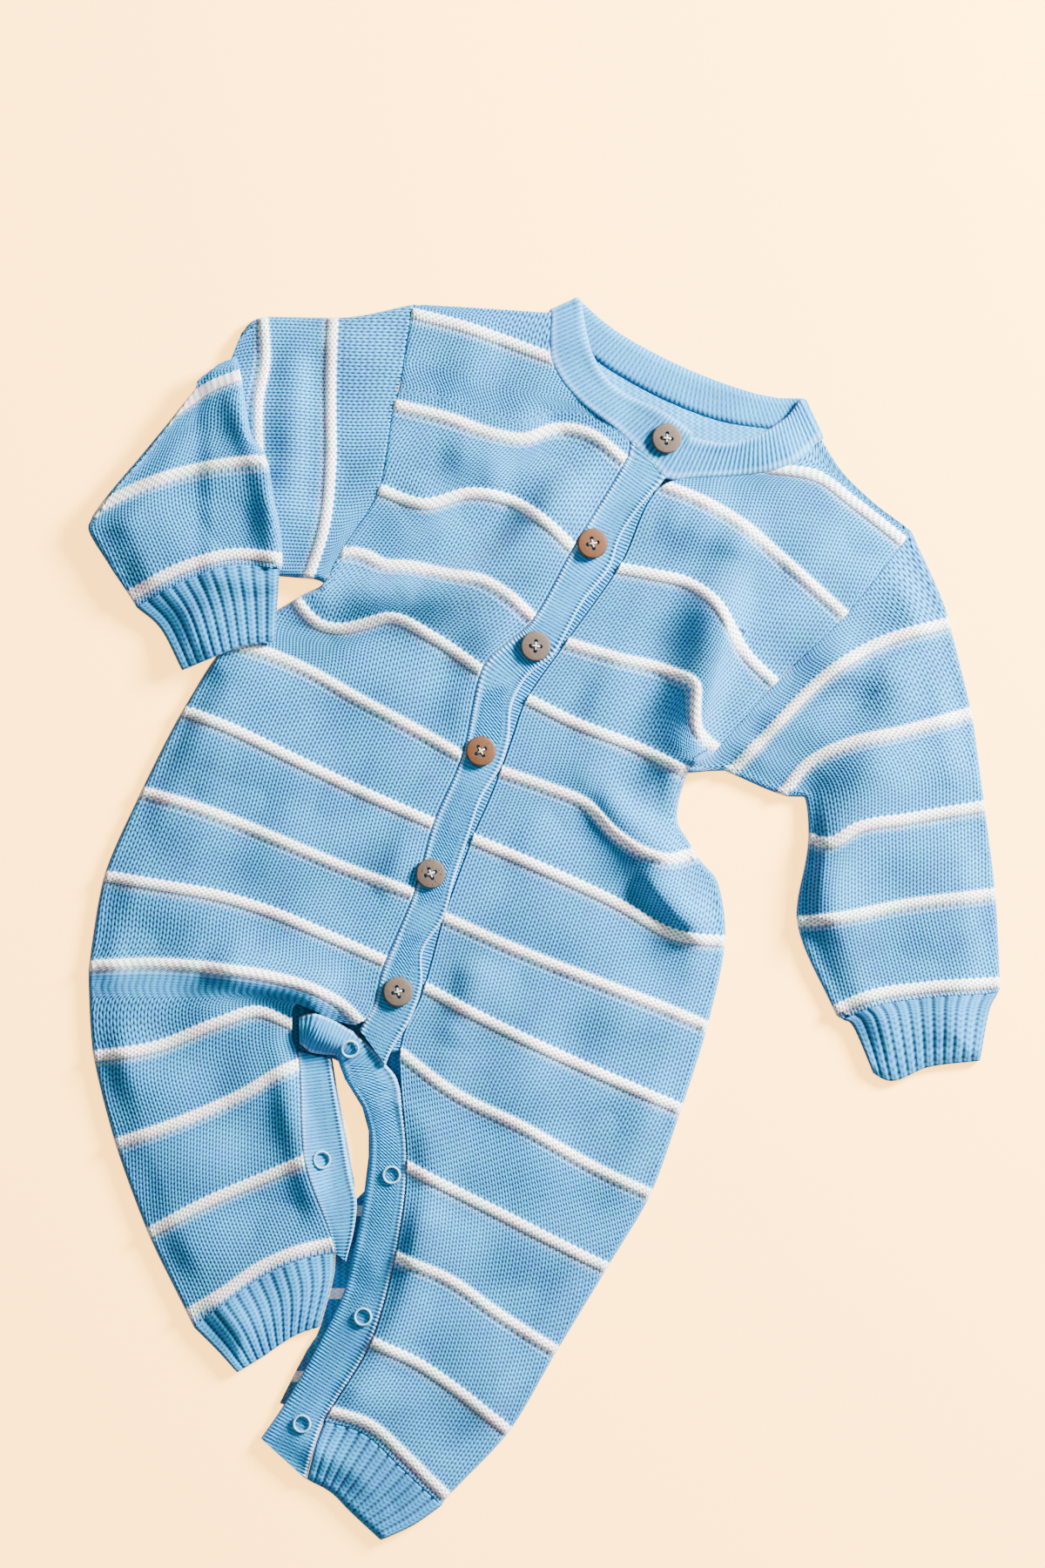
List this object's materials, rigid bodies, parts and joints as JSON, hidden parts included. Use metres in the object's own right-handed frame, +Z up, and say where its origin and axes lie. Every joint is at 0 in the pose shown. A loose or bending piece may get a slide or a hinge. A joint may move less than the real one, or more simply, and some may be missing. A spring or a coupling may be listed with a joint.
{
  "type": "baby romper",
  "caption": "Long-sleeved knitted baby romper with raised stripes, ribbed cuffs, a buttoned front and open leg snaps, laid flat.",
  "frame": {"origin": "centre of the garment's box, on the floor under its back", "axes": "+Y from the legs towards the neck, +Z up through the front"},
  "size_m": [0.4184, 0.5704, 0.0165],
  "materials": {
    "knit": "cotton stocking stitch with purl welts",
    "rib": "cotton rib",
    "button_wood": "turned, sealed",
    "snap_plastic": "clear moulded"
  },
  "bodies": {
    "root": {"back": "knit", "front_right": "knit", "front_left": "knit", "sleeve_right": "knit", "sleeve_left": "knit", "cuff_sleeve_right": "rib", "cuff_sleeve_left": "rib", "cuff_leg_right": "rib", "cuff_leg_left": "rib", "neckband": "rib", "button_band_top": "rib", "button_band_under": "rib", "snap_band_left": "rib", "snap_band_right": "rib", "button_1": "button_wood", "button_2": "button_wood", "button_3": "button_wood", "button_4": "button_wood", "button_5": "button_wood", "button_6": "button_wood", "snap_1": "snap_plastic", "snap_2": "snap_plastic", "snap_3": "snap_plastic", "snap_4": "snap_plastic", "snap_5": "snap_plastic"}
  },
  "joints": []
}
